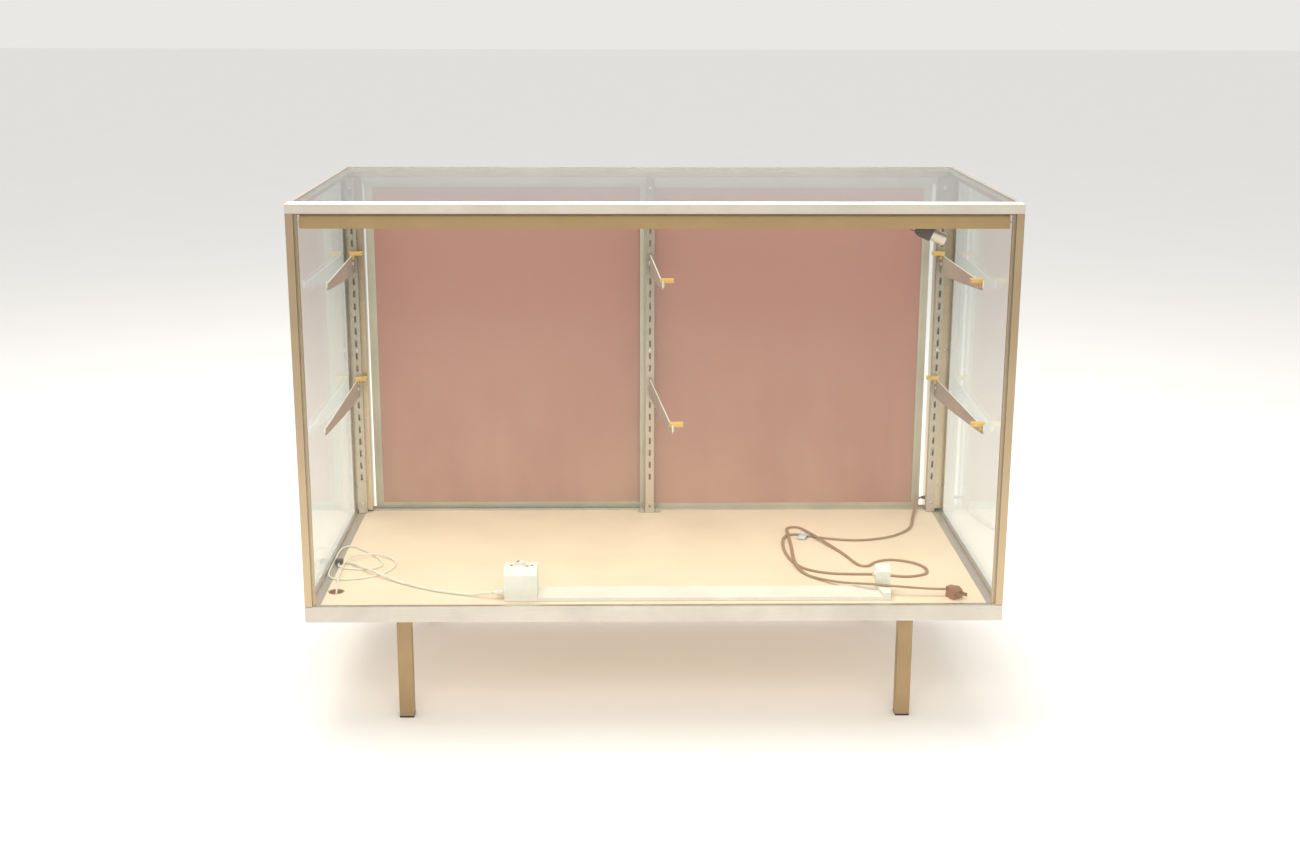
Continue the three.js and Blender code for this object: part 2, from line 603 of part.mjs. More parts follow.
const BROWN_ROUTE = [
  [563.6, 278.6, 0, 250.9], [556.8, 275, 0, 248], [551.4, 263.5, 0, 236.6], [540, 222, 0, 227.6],
  [521, 148, 0.4], [502.7, 119.8, 0], [468.8, 89.3, 0], [405, 69.5, 0.1], [345, 82, 0.1],
  [286, 108, 0.1], [267, 96, 0.1], [256, 40, 0.1], [262, -45, 0], [283.8, -98.9, 0.1],
  [327.9, -125.8, 0.1], [410.4, -132.9, 0.1], [472, -145.5, 0], [505, -129, 0], [509.5, -98, 0],
  [491, -67, 0], [451, -49.5, 0], [424, -61, 0], [404, -85, 0.1], [391.5, -84, 0.1], [364, -7, 0.4],
  [323, 87, 3.8], [307, 136, 0.3], [299, 151, 0.1], [287.5, 156, 0.1], [276, 149.5, 0.3],
  [272, 132, 1], [271.5, 104, 3.8], [271, 30, 0.4], [269.5, -88, 3.8], [285, -135, 0.2],
  [335, -187, 0, 230.5], [392, -225, 0, 239.3], [430, -236, 0, 239.4], [492, -241.5, 0, 236.4],
  [523.6, -242.4, 0, DECK_TOP + PLUG_ENTRY],
];

function cordRoute(points, radius) {
  return points.map(([x, y, lift, z]) => new THREE.Vector3(
    x, y, z === undefined ? DECK_TOP + GAP + radius + lift : z));
}

function tube(route, radius, steps) {
  const section = new THREE.Shape();
  for (let i = 0; i < CORD_SIDES; i += 1) {
    const angle = (i + 0.5) / CORD_SIDES * 2 * Math.PI;
    const point = [radius * Math.cos(angle), radius * Math.sin(angle)];
    if (i === 0) section.moveTo(...point);
    else section.lineTo(...point);
  }
  section.closePath();
  const path = new THREE.CatmullRomCurve3(route, false, 'centripetal');
  return new THREE.ExtrudeGeometry(section, { steps, extrudePath: path, bevelEnabled: false });
}

function cords() {
  const cord = (name, route, radius, steps, material) => part(
    name, tube(cordRoute(route, radius), radius, steps), material);
  cord('white_supply_cord', SUPPLY_ROUTE, SUPPLY_RADIUS, SUPPLY_STEPS, white);
  cord('white_lead', LEAD_ROUTE, LEAD_RADIUS, LEAD_STEPS, white);
  cord('brown_cord', BROWN_ROUTE, BROWN_RADIUS, BROWN_STEPS, brown);

  const [length, width, height] = SPLICE_SIZE;
  const splice = block([-length / 2, -width / 2, 0], [length / 2, width / 2, height]);
  part('cord_splice', splice, bakelite).position.set(...SPLICE_AT, DECK_TOP + GAP);

  const bushing = new THREE.CylinderGeometry(2.6, 4, BUSHING_LENGTH, 16).rotateZ(Math.PI / 2);
  const [x, y, z] = BUSHING_AT;
  part('cord_bushing', bushing, bakelite).position.set(x - BUSHING_LENGTH / 2, y, z);
}

// A two-pin plug lying on the deck, its blades pointing away from the cord.
function plug() {
  const [bladeLength, bladeThickness, bladeWidth] = BLADE_SIZE;
  const body = outline([
    [0, -7], [7, -8], [13, -12], [PLUG_LENGTH, -12], [PLUG_LENGTH, 12], [13, 12], [7, 8], [0, 7],
  ]);
  const blade = (side) => {
    const y = side * BLADE_SPACING / 2;
    return block(
      [PLUG_LENGTH - 1, y - bladeThickness / 2, (PLUG_HEIGHT - bladeWidth) / 2],
      [PLUG_LENGTH + bladeLength, y + bladeThickness / 2, (PLUG_HEIGHT + bladeWidth) / 2]);
  };
  const slope = block([0, -20, 0], [20, 20, 20]).rotateY(THREE.MathUtils.degToRad(PLUG_SLOPE));
  slope.translate(PLUG_LENGTH - 8, 0, PLUG_HEIGHT);
  const shape = join(cut(extrude(body, PLUG_HEIGHT), slope), blade(-1), blade(1));
  const mesh = part('brown_plug', shape, brown);
  mesh.position.set(...PLUG_AT, DECK_TOP + GAP);
  mesh.rotation.z = THREE.MathUtils.degToRad(PLUG_TURN);
}

topRails();
bottomRails();
posts();
glassPanes();
deck();
legs();
standards();
brackets();
doors();
tracks();
topLight();
stripLight();
cords();
plug();

export default showcase;
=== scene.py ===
"""Looks of the glass display showcase: camera, cords, materials, small pieces and studio."""

import math

import bmesh
import bpy
from mathutils import Matrix, Vector


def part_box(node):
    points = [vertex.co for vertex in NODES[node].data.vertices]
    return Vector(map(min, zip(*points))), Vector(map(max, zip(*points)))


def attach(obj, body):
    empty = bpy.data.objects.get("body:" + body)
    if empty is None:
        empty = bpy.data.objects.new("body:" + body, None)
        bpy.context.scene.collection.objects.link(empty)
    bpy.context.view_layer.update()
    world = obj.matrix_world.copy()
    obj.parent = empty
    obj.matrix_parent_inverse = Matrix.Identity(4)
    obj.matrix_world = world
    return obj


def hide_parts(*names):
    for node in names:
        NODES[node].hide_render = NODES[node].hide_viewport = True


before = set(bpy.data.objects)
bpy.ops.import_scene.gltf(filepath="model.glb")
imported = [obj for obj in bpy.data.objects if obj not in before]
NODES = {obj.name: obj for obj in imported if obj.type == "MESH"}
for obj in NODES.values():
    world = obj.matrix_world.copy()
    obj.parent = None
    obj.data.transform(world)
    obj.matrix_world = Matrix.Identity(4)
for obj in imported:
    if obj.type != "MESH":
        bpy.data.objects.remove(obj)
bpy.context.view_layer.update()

# Driving sizes in metres, the same as in the CAD source.
MM = 0.001
GAP = 0.0003
DECK_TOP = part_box("deck_panel")[1].z
DECK_REST = DECK_TOP + GAP
CORD_HOLE = (-0.570, -0.2128)
STANDARD_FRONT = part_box("standard_centre")[0].y
BAY_X = {"left": -0.5915, "centre": 0.0, "right": 0.5825}
BRACKET_REACH = {"upper": 0.356, "lower": 0.407}
BRACKET_BLADE_DROP = 0.006
# How far each bracket is turned in its slots, in degrees.
BRACKET_SKEW = {
    "upper": {"left": 1.4, "centre": 2.7, "right": 1.5},
    "lower": {"left": 0.4, "centre": 4.8, "right": 1.8},
}
# The bracket rivets: which face of the blade each is on, and its place from that face.
RIVET_SIDE = {"left": 1, "centre": -1, "right": -1}
RIVET_SKIN = {"left": 0.0010, "centre": 0.0012, "right": 0.0010}
RIVET_OUT = 0.0035
RIVET_DROP = 0.0235
STANDARD_SCREW_HEIGHTS = (0.566, 0.243, 0.893)
REAR_POST_FACE = 0.2732
# The screws in the front faces of the rear posts: x, height and head radius.
POST_SCREWS = [
    (0.5990, 0.5650, 0.0022), (0.5978, 0.2804, 0.0022),
    (-0.6015, 0.5565, 0.00135), (-0.6015, 0.2781, 0.00135),
]
# The right lampholder: the middle of its socket, its tilt, and the starter can plugged into it.
SOCKET = Vector((0.452, -0.2648, 0.880))
SOCKET_TILT = math.radians(25)
SOCKET_FRONT = 0.012
STARTER_LENGTH = 0.025
# The strip light on the deck: its box, the starter in the box and the holder at its far end.
STRIP_FRONT = -0.2663
STRIP_LEFT = -0.265
STRIP_DEPTH = 0.060
STRIP_HEIGHT = 0.0577
STRIP_STARTER = (-0.238, -0.2363)
STRIP_HOLES = ((-0.2533, -0.2400), (-0.2248, -0.2440), (-0.2165, -0.2400))
STRIP_END = 0.3985
STRIP_END_STEP = 0.0453

# The cords' radii, or width and thickness, and their routes.
SUPPLY_RADIUS = 0.0025
LEAD_RADIUS = 0.0017
BROWN_SIZE = (0.0062, 0.0034)
TAG_PLACE = (0.303, 0.098)
SUPPLY_ROUTE = [
    (-0.2869, -0.2488, 0.2343), (-0.2940, -0.2476, 0.2334), (-0.3020, -0.2460, 0.2322),
    (-0.3160, -0.2425, 0.2294), (-0.3320, -0.2380, 0.2277), (-0.3580, -0.2290, 0.2270),
    (-0.3860, -0.2180, 0.2269), (-0.4090, -0.2055, 0.2269), (-0.4320, -0.1910, 0.2269),
    (-0.4530, -0.1765, 0.2270), (-0.4740, -0.1600, 0.2278), (-0.5080, -0.1300, 0.2308),
    (-0.5410, -0.0950, 0.2308), (-0.5560, -0.0740, 0.2282), (-0.5670, -0.0620, 0.2269),
    (-0.5812, -0.0575, 0.2268),
]
LEAD_ROUTE = [
    (-0.5890, -0.0638, 0.2260), (-0.5880, -0.0740, 0.2260), (-0.5800, -0.0860, 0.2260),
    (-0.5660, -0.0930, 0.2260), (-0.5410, -0.0960, 0.2260), (-0.5190, -0.0910, 0.2260),
    (-0.5070, -0.0740, 0.2260), (-0.5120, -0.0490, 0.2260), (-0.5260, -0.0210, 0.2260),
    (-0.5520, 0.0130, 0.2260), (-0.5710, 0.0340, 0.2260), (-0.5840, 0.0400, 0.2260),
    (-0.5950, 0.0310, 0.2260), (-0.5995, 0.0060, 0.2260), (-0.5995, -0.0400, 0.2260),
    (-0.5985, -0.1180, 0.2260), (-0.5910, -0.1430, 0.2260), (-0.5720, -0.1520, 0.2260),
    (-0.5400, -0.1480, 0.2260), (-0.5090, -0.1310, 0.2260), (-0.4900, -0.1060, 0.2260),
    (-0.4820, -0.0730, 0.2260), (-0.4880, -0.0450, 0.2266), (-0.5060, -0.0260, 0.2286),
    (-0.5260, -0.0200, 0.2300), (-0.5500, -0.0270, 0.2316), (-0.5680, -0.0450, 0.2332),
    (-0.5750, -0.0640, 0.2320), (-0.5780, -0.0880, 0.2300), (-0.5770, -0.1200, 0.2290),
    (-0.5760, -0.1510, 0.2300), (-0.5730, -0.1800, 0.2270), (-0.5710, -0.1990, 0.2263),
    (-0.5700, -0.2080, 0.2236), (-0.5700, -0.2146, 0.2170), (-0.5700, -0.2170, 0.2086),
]
BROWN_ROUTE = [
    (0.5636, 0.2786, 0.2509), (0.5568, 0.2750, 0.2480), (0.5514, 0.2635, 0.2366),
    (0.5400, 0.2220, 0.2276), (0.5210, 0.1480, 0.2263), (0.5027, 0.1198, 0.2259),
    (0.4688, 0.0893, 0.2259), (0.4050, 0.0695, 0.2260), (0.3450, 0.0820, 0.2260),
    (0.2860, 0.1080, 0.2260), (0.2670, 0.0960, 0.2260), (0.2560, 0.0400, 0.2260),
    (0.2620, -0.0450, 0.2259), (0.2838, -0.0989, 0.2260), (0.3279, -0.1258, 0.2260),
    (0.4104, -0.1329, 0.2260), (0.4720, -0.1455, 0.2259), (0.5050, -0.1290, 0.2259),
    (0.5095, -0.0980, 0.2259), (0.4910, -0.0670, 0.2259), (0.4510, -0.0495, 0.2259),
    (0.4240, -0.0610, 0.2259), (0.4040, -0.0850, 0.2260), (0.3915, -0.0840, 0.2260),
    (0.3640, -0.0070, 0.2263), (0.3230, 0.0870, 0.2297), (0.3070, 0.1360, 0.2262),
    (0.2990, 0.1510, 0.2260), (0.2875, 0.1560, 0.2260), (0.2760, 0.1495, 0.2262),
    (0.2720, 0.1320, 0.2269), (0.2715, 0.1040, 0.2297), (0.2710, 0.0300, 0.2263),
    (0.2695, -0.0880, 0.2297), (0.2850, -0.1350, 0.2261), (0.3350, -0.1870, 0.2305),
    (0.3920, -0.2250, 0.2393), (0.4300, -0.2360, 0.2394), (0.4920, -0.2415, 0.2364),
    (0.5236, -0.2424, 0.2360),
]


# --- Camera ---------------------------------------------------------------------------------------

CAMERA_PLACE = (-0.0561, -3.0882, 1.2581)
CAMERA_TURN = (0.966, 14.469, 0.140)
LENS = 46.83
SENSOR = 36


def add_camera():
    """The photograph's viewpoint: in front of the case, a little left of its middle, looking down."""
    yaw, pitch, roll = (math.radians(a) for a in CAMERA_TURN)
    ahead = math.cos(pitch)
    forward = Vector((math.sin(yaw) * ahead, math.cos(yaw) * ahead, -math.sin(pitch)))
    level = Vector((math.cos(yaw), -math.sin(yaw), 0))
    rise = level.cross(forward)
    right = math.cos(roll) * level + math.sin(roll) * rise
    up = -math.sin(roll) * level + math.cos(roll) * rise
    data = bpy.data.cameras.new("camera")
    data.sensor_width = SENSOR
    data.lens = LENS
    data.clip_end = 50
    camera = bpy.data.objects.new("camera", data)
    bpy.context.scene.collection.objects.link(camera)
    turn = Matrix((right, up, -forward)).transposed().to_4x4()
    camera.matrix_world = Matrix.Translation(CAMERA_PLACE) @ turn
    bpy.context.scene.camera = camera


# --- Shader helpers -------------------------------------------------------------------------------

class Shader:
    """A material's node tree with short calls for the nodes used here."""

    def __init__(self, name):
        self.material = bpy.data.materials.new(name)
        self.material.use_nodes = True
        self.tree = self.material.node_tree
        self.tree.nodes.clear()
        self.output = self.tree.nodes.new("ShaderNodeOutputMaterial")
        self.position = self.tree.nodes.new("ShaderNodeTexCoord").outputs["Object"]

    def link(self, source, target):
        self.tree.links.new(source, target)

    def node(self, kind, **values):
        node = self.tree.nodes.new(kind)
        for key, value in values.items():
            setattr(node, key, value)
        return node

    def stretched(self, scale):
        mapping = self.node("ShaderNodeMapping")
        mapping.inputs["Scale"].default_value = scale
        self.link(self.position, mapping.inputs["Vector"])
        return mapping.outputs[0]

    def noise(self, scale, detail=3.0, stretch=(1, 1, 1), rough=0.5):
        noise = self.node("ShaderNodeTexNoise")
        noise.inputs["Scale"].default_value = scale
        noise.inputs["Detail"].default_value = detail
        noise.inputs["Roughness"].default_value = rough
        self.link(self.stretched(stretch), noise.inputs["Vector"])
        return noise.outputs["Fac"]

    def spots(self, scale, size, chance=1.0):
        """1 in small round spots, 0 between them; chance is the share of cells that hold one."""
        cells = self.node("ShaderNodeTexVoronoi")
        cells.inputs["Scale"].default_value = scale
        self.link(self.position, cells.inputs["Vector"])
        spot = self.ramp(cells.outputs["Distance"], [(size * 0.6, 1), (size, 0)])
        pick = self.node("ShaderNodeSeparateColor")
        self.link(cells.outputs["Color"], pick.inputs[0])
        chosen = self.ramp(pick.outputs[0], [(chance, 1), (chance + 0.001, 0)])
        return self.maths("MULTIPLY", spot, chosen)

    def ramp(self, source, stops):
        """A curve through (place, grey or colour) stops."""
        ramp = self.node("ShaderNodeValToRGB")
        elements = ramp.color_ramp.elements
        while len(elements) < len(stops):
            elements.new(0.5)
        for element, (place, value) in zip(elements, stops):
            element.position = place
            element.color = (*value, 1) if hasattr(value, "__len__") else (value, value, value, 1)
        self.link(source, ramp.inputs[0])
        return ramp.outputs[0]

    def height(self, low, high):
        """1 up to the height low, falling to 0 at the height high, in metres."""
        axes = self.node("ShaderNodeSeparateXYZ")
        self.link(self.position, axes.inputs[0])
        return self.ramp(axes.outputs[2], [(low, 1), (high, 0)])

    def maths(self, operation, first, second):
        maths = self.node("ShaderNodeMath", operation=operation)
        for socket, value in zip(maths.inputs, (first, second)):
            if isinstance(value, (int, float)):
                socket.default_value = value
            else:
                self.link(value, socket)
        return maths.outputs[0]

    def span(self, source, low, high):
        """source, from 0 to 1, spread from low to high."""
        return self.maths("ADD", self.maths("MULTIPLY", source, high - low), low)

    def mixed(self, share, first, second):
        """A mix of two colours, each a socket or three numbers."""
        mix = self.node("ShaderNodeMix", data_type="RGBA")
        factor, first_socket, second_socket = mix.inputs[0], mix.inputs[6], mix.inputs[7]
        if isinstance(share, (int, float)):
            factor.default_value = share
        else:
            self.link(share, factor)
        for socket, value in ((first_socket, first), (second_socket, second)):
            if hasattr(value, "__len__"):
                socket.default_value = (*value, 1)
            else:
                self.link(value, socket)
        return mix.outputs[2]

    def bump(self, height, strength, distance):
        bump = self.node("ShaderNodeBump")
        bump.inputs["Strength"].default_value = strength
        bump.inputs["Distance"].default_value = distance
        self.link(height, bump.inputs["Height"])
        return bump.outputs[0]

    def surface(self, colour, roughness, normal=None, **fixed):
        """The Principled shader, with a linked colour, roughness and normal and other fixed values."""
        shader = self.node("ShaderNodeBsdfPrincipled")
        for socket, value in (("Base Color", colour), ("Roughness", roughness), ("Normal", normal)):
            if value is not None:
                self.link(value, shader.inputs[socket])
        for name, value in fixed.items():
            shader.inputs[name.replace("_", " ")].default_value = value
        self.link(shader.outputs[0], self.output.inputs["Surface"])
        return self.material


def shade(colour, factor):
    return tuple(channel * factor for channel in colour)


# --- Materials ------------------------------------------------------------------------------------

AXIS_STRETCH = {"x": (0.02, 1, 1), "y": (1, 0.02, 1), "z": (1, 1, 0.02)}


def brushed_metal(name, colour, along, roughness=(0.28, 0.42), metallic=0.85, tarnish=0.8, foot=None):
    """Extruded metal with fine brush lines along one axis, a few dull patches and tiny pits.

    A foot colour paints bounce light on an upright member, making it paler towards its foot.
    """
    s = Shader(name)
    lines = s.noise(1400, 2, AXIS_STRETCH[along], 0.7)
    patches = s.noise(9, 5, rough=0.6)
    pits = s.spots(160, 0.09, 0.12)
    tone = s.mixed(s.ramp(patches, [(0.35, 0), (0.7, 1)]), colour, shade(colour, tarnish))
    tone = s.mixed(s.ramp(lines, [(0.3, 0), (0.7, 0.35)]), tone, shade(colour, 0.72))
    # Painted bounce light: the colour turns to the foot colour towards the member's foot.
    if foot:
        tone = s.mixed(s.maths("MULTIPLY", s.height(0.3, 0.75), 0.85), tone, foot)
    tone = s.mixed(s.maths("MULTIPLY", pits, 0.6), tone, shade(colour, 0.35))
    rough = s.span(s.mixed(0.5, lines, patches), *roughness)
    return s.surface(tone, rough, s.bump(lines, 0.12, 0.0002), Metallic=metallic)


def clear_glass(name):
    """A clear pane that lets light straight through, with a mirror at its faces and faint dust."""
    s = Shader(name)
    smears = s.noise(6, 6, (1, 1, 0.35), 0.65)
    dust = s.spots(220, 0.07, 0.2)
    clear = s.node("ShaderNodeBsdfTransparent")
    clear.inputs["Color"].default_value = (0.972, 0.985, 0.974, 1)
    mirror = s.node("ShaderNodeBsdfGlossy")
    s.link(s.span(s.ramp(smears, [(0.45, 0), (0.75, 1)]), 0.01, 0.06), mirror.inputs["Roughness"])
    film = s.node("ShaderNodeBsdfDiffuse")
    film.inputs["Color"].default_value = (0.75, 0.73, 0.68, 1)
    facing = s.node("ShaderNodeLayerWeight")
    facing.inputs["Blend"].default_value = 0.5
    grazing = s.maths("POWER", facing.outputs["Facing"], 5.0)
    glass = s.node("ShaderNodeMixShader")
    s.link(s.span(grazing, 0.04, 0.75), glass.inputs[0])
    s.link(clear.outputs[0], glass.inputs[1])
    s.link(mirror.outputs[0], glass.inputs[2])
    haze = s.maths("MULTIPLY", s.ramp(smears, [(0.5, 0), (0.8, 1)]), 0.012)
    haze = s.maths("ADD", haze, s.maths("MULTIPLY", dust, 0.10))
    pane = s.node("ShaderNodeMixShader")
    s.link(haze, pane.inputs[0])
    s.link(glass.outputs[0], pane.inputs[1])
    s.link(film.outputs[0], pane.inputs[2])
    s.link(pane.outputs[0], s.output.inputs["Surface"])
    return s.material


def laminate(name, colour):
    """Cream deck board with a soft mottle, specks, faint scratches and a fine grain."""
    s = Shader(name)
    mottle = s.noise(7, 5, rough=0.55)
    scratches = s.noise(60, 2, (0.06, 1, 1), 0.6)
    specks = s.spots(38, 0.035, 0.1)
    tone = s.mixed(s.ramp(mottle, [(0.35, 0), (0.7, 1)]), colour, shade(colour, 0.9))
    tone = s.mixed(s.ramp(scratches, [(0.66, 0), (0.72, 0.25)]), tone, shade(colour, 0.8))
    tone = s.mixed(s.maths("MULTIPLY", specks, 0.6), tone, shade(colour, 0.45))
    rough = s.span(mottle, 0.45, 0.62)
    return s.surface(tone, rough, s.bump(s.noise(900, 2), 0.06, 0.0003))


def door_board(name, colour):
    """Glossy dusty rose hardboard with faint upright streaks, clouding, pale chips and painted shade that
    darkens its upper part.
    """
    s = Shader(name)
    streaks = s.noise(22, 4, (1, 1, 0.09), 0.55)
    clouds = s.noise(3.2, 5, (1, 1, 0.6), 0.6)
    chips = s.spots(14, 0.022, 0.12)
    fine = s.noise(420, 3, (1, 1, 0.7), 0.6)
    tone = s.mixed(s.ramp(streaks, [(0.35, 0), (0.7, 1)]), colour, shade(colour, 0.88))
    tone = s.mixed(s.ramp(clouds, [(0.42, 0), (0.62, 0.7)]), tone, (0.545, 0.330, 0.236))
    # Painted shade: the boards darken towards their top.
    tone = s.mixed(s.height(0.25, 0.65), (0.43, 0.195, 0.155), tone)
    tone = s.mixed(s.ramp(fine, [(0.4, 0), (0.7, 0.22)]), tone, shade(colour, 0.84))
    tone = s.mixed(chips, tone, (0.80, 0.66, 0.55))
    rough = s.span(s.mixed(0.5, streaks, clouds), 0.24, 0.4)
    return s.surface(tone, rough, s.bump(fine, 0.05, 0.0003))


def moulded(name, colour, roughness=(0.3, 0.45), grain=0.1, **fixed):
    """Moulded plastic or rubber with a fine grain, slight clouding and scuffs."""
    s = Shader(name)
    cloud = s.noise(40, 4, rough=0.6)
    grainy = s.noise(1600, 2, rough=0.6)
    scuffs = s.noise(260, 2, (1, 0.12, 1), 0.6)
    tone = s.mixed(s.ramp(cloud, [(0.3, 0), (0.75, 1)]), colour, shade(colour, 0.82))
    tone = s.mixed(s.ramp(scuffs, [(0.64, 0), (0.74, 0.35)]), tone, shade(colour, 1.25))
    return s.surface(tone, s.span(cloud, *roughness), s.bump(grainy, grain, 0.0002), **fixed)


def painted(name, colour, roughness=(0.35, 0.5), metallic=0.0, chip=(0.35, 0.32, 0.28)):
    """Sprayed enamel with orange peel, light soiling and small chips."""
    s = Shader(name)
    peel = s.noise(700, 2)
    soil = s.noise(14, 5, rough=0.65)
    chips = s.spots(70, 0.05, 0.07)
    tone = s.mixed(s.ramp(soil, [(0.4, 0), (0.8, 1)]), colour, shade(colour, 0.85))
    tone = s.mixed(s.maths("MULTIPLY", chips, 0.7), tone, chip)
    return s.surface(tone, s.span(soil, *roughness), s.bump(peel, 0.05, 0.0003), Metallic=metallic)


RAIL = (0.68, 0.635, 0.56)
POST = (0.44, 0.335, 0.215)

MATERIALS = {
    "rail_x": brushed_metal("rail_x", RAIL, "x"),
    "rail_y": brushed_metal("rail_y", RAIL, "y"),
    # Painted bounce light: the posts turn paler towards their feet.
    "post": brushed_metal("post", POST, "z", foot=(0.60, 0.47, 0.31)),
    "rear_post": brushed_metal("rear_post", POST, "z", foot=(0.80, 0.65, 0.45)),
    "leg": brushed_metal("leg", (0.44, 0.31, 0.165), "z", (0.35, 0.5), 0.6),
    # Painted shade and bounce light: the standards are dark above and much paler towards their feet.
    "standard": brushed_metal(
        "standard", (0.39, 0.345, 0.275), "z", (0.35, 0.5), 0.7, foot=(0.69, 0.585, 0.475)),
    "bracket": brushed_metal("bracket", (0.56, 0.485, 0.42), "y", (0.32, 0.48), 0.45),
    "door_frame": brushed_metal("door_frame", (0.60, 0.56, 0.45), "z", (0.35, 0.5), 0.6),
    "glass": clear_glass("glass"),
    "deck": laminate("deck", (0.90, 0.735, 0.55)),
    "door_board": door_board("door_board", (0.48, 0.245, 0.185)),
    "valance": painted("valance", (0.385, 0.238, 0.088), (0.4, 0.55), 0.2),
    "white_paint": painted("white_paint", (0.86, 0.84, 0.76)),
    "lamp": moulded("lamp", (0.88, 0.88, 0.86), (0.15, 0.25), 0.02),
    "dark": moulded("dark", (0.055, 0.032, 0.02), (0.25, 0.45)),
    "black": moulded("black", (0.03, 0.028, 0.026), (0.5, 0.65), 0.2),
    "amber": moulded("amber", (0.80, 0.50, 0.12), (0.12, 0.25), 0.03, Subsurface_Weight=0.35),
    "white_cord": moulded("white_cord", (0.88, 0.84, 0.74), (0.35, 0.5), 0.08),
    "brown_cord": moulded("brown_cord", (0.38, 0.225, 0.115), (0.4, 0.55), 0.12),
    "plug": moulded("plug", (0.34, 0.145, 0.052), (0.3, 0.45), 0.1),
    "bright_steel": brushed_metal("bright_steel", (0.72, 0.70, 0.66), "z", (0.2, 0.32), 0.9),
    # A painted highlight for the bracket blades' edges.
    "highlight_edge": brushed_metal("highlight_edge", (0.92, 0.90, 0.86), "y", (0.3, 0.45), 0.3, 0.92),
    "standard_pale": brushed_metal("standard_pale", (0.66, 0.60, 0.48), "z", (0.35, 0.5), 0.5),
    "can": brushed_metal("can", (0.72, 0.66, 0.56), "x", (0.25, 0.4), 0.85),
    "raw_board": laminate("raw_board", (0.33, 0.17, 0.075)),
    "tag": moulded("tag", (0.60, 0.74, 0.76), (0.15, 0.3), 0.05),
}

NODE_MATERIALS = {
    "top_rail_front": "rail_x", "top_rail_rear": "rail_x",
    "top_rail_left": "rail_y", "top_rail_right": "rail_y",
    "bottom_rail_front": "rail_x", "bottom_rail_rear": "rail_x",
    "bottom_rail_left": "rail_y", "bottom_rail_right": "rail_y",
    "deck_panel": "deck", "light_valance": "valance", "lamp_tube": "lamp",
    "lampholder_left": "dark", "lampholder_right": "dark", "starter": "can",
    "strip_light_box": "white_paint", "strip_light_channel": "white_paint",
    "strip_light_starter": "white_paint", "white_supply_cord": "white_cord",
    "white_lead": "white_cord", "cord_splice": "dark", "cord_bushing": "dark",
    "brown_cord": "brown_cord", "brown_plug": "plug",
}
NAME_STARTS = {
    "post_front": "post", "post_rear": "rear_post", "glass_": "glass", "leg_": "leg",
    "foot_glide_": "black", "standard_": "standard", "bracket_": "bracket", "shelf_rest_": "amber",
    "door_track_": "rail_x", "door_frame_": "door_frame", "door_panel_": "door_board",
}


def dress_frame():
    """Every CAD node gets its finished material."""
    for name, node in NODES.items():
        key = NODE_MATERIALS.get(name)
        if key is None:
            key = next(value for start, value in NAME_STARTS.items() if name.startswith(start))
        node.data.materials.clear()
        node.data.materials.append(MATERIALS[key])


# --- Mesh helpers ---------------------------------------------------------------------------------

def finished(name, form, material, smooth=0.0, bevel=0.0):
    """A mesh piece of the case, from a bmesh; smooth is the angle up to which its faces blend."""
    bmesh.ops.recalc_face_normals(form, faces=form.faces)
    mesh = bpy.data.meshes.new(name)
    form.to_mesh(mesh)
    form.free()
    piece = bpy.data.objects.new(name, mesh)
    bpy.context.scene.collection.objects.link(piece)
    mesh.materials.append(MATERIALS[material])
    if smooth:
        mesh.shade_smooth()
        mesh.set_sharp_from_angle(angle=math.radians(smooth))
    if bevel:
        edges = piece.modifiers.new("edges", "BEVEL")
        edges.width = bevel
        edges.segments = 2
        edges.limit_method = "ANGLE"
    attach(piece, "case")
    return piece


# A head's cross recess: the half width of its arms, in radians, and its share of the head's radius.
CROSS_ARM = 0.3
CROSS_REACH = 0.5


def lathe(form, profile, place, segments=24, dent=0.0):
    """A turned form from (radius, height) pairs; dent pushes a cross recess into its top."""
    rings = []
    for radius, height in profile:
        count = segments if radius > 0 else 1
        ring = []
        for k in range(count):
            angle = math.tau * k / segments
            arm = min(angle % (math.pi / 2), math.pi / 2 - angle % (math.pi / 2))
            recessed = height > 0 and radius < CROSS_REACH * profile[0][0] and arm < CROSS_ARM
            sunk = dent if recessed else 0
            point = Vector((radius * math.cos(angle), radius * math.sin(angle), height - sunk))
            ring.append(form.verts.new(place @ point))
        rings.append(ring)
    for low, high in zip(rings, rings[1:]):
        for k in range(segments):
            m = (k + 1) % segments
            corners = [low[k % len(low)], low[m % len(low)], high[m % len(high)], high[k % len(high)]]
            unique = list(dict.fromkeys(corners))
            if len(unique) > 2:
                form.faces.new(unique)
    for ring in (rings[0], rings[-1]):
        if len(ring) > 1:
            form.faces.new(ring)


def prism(form, points, depth, place):
    """A straight extrusion of flat (x, y) points, depth along z, put in place by a matrix."""
    low = [form.verts.new(place @ Vector((x, y, 0))) for x, y in points]
    high = [form.verts.new(place @ Vector((x, y, depth))) for x, y in points]
    form.faces.new(low)
    form.faces.new(high)
    for k in range(len(points)):
        m = (k + 1) % len(points)
        form.faces.new((low[k], low[m], high[m], high[k]))


def skin(form, rings, closed=False):
    """Faces between neighbouring rings of equal size; closed joins the last ring to the first."""
    following = rings[1:] + rings[:1] if closed else rings[1:]
    for low, high in zip(rings, following):
        count = len(low)
        for k in range(count):
            m = (k + 1) % count
            form.faces.new((low[k], low[m], high[m], high[k]))


def ellipse(half_x, half_y, count):
    """The corners of a flat ellipse round the origin."""
    angles = [math.tau * k / count for k in range(count)]
    return [(half_x * math.cos(angle), half_y * math.sin(angle)) for angle in angles]


def facing(direction, at):
    """A matrix that puts a local z axis along direction, at a point."""
    return Matrix.Translation(at) @ Vector(direction).to_track_quat("Z", "Y").to_matrix().to_4x4()


def upright(at):
    """A matrix that stands a flat outline up at a point and extrudes it towards the front."""
    return Matrix.Translation(at) @ Matrix.Rotation(math.pi / 2, 4, "X")


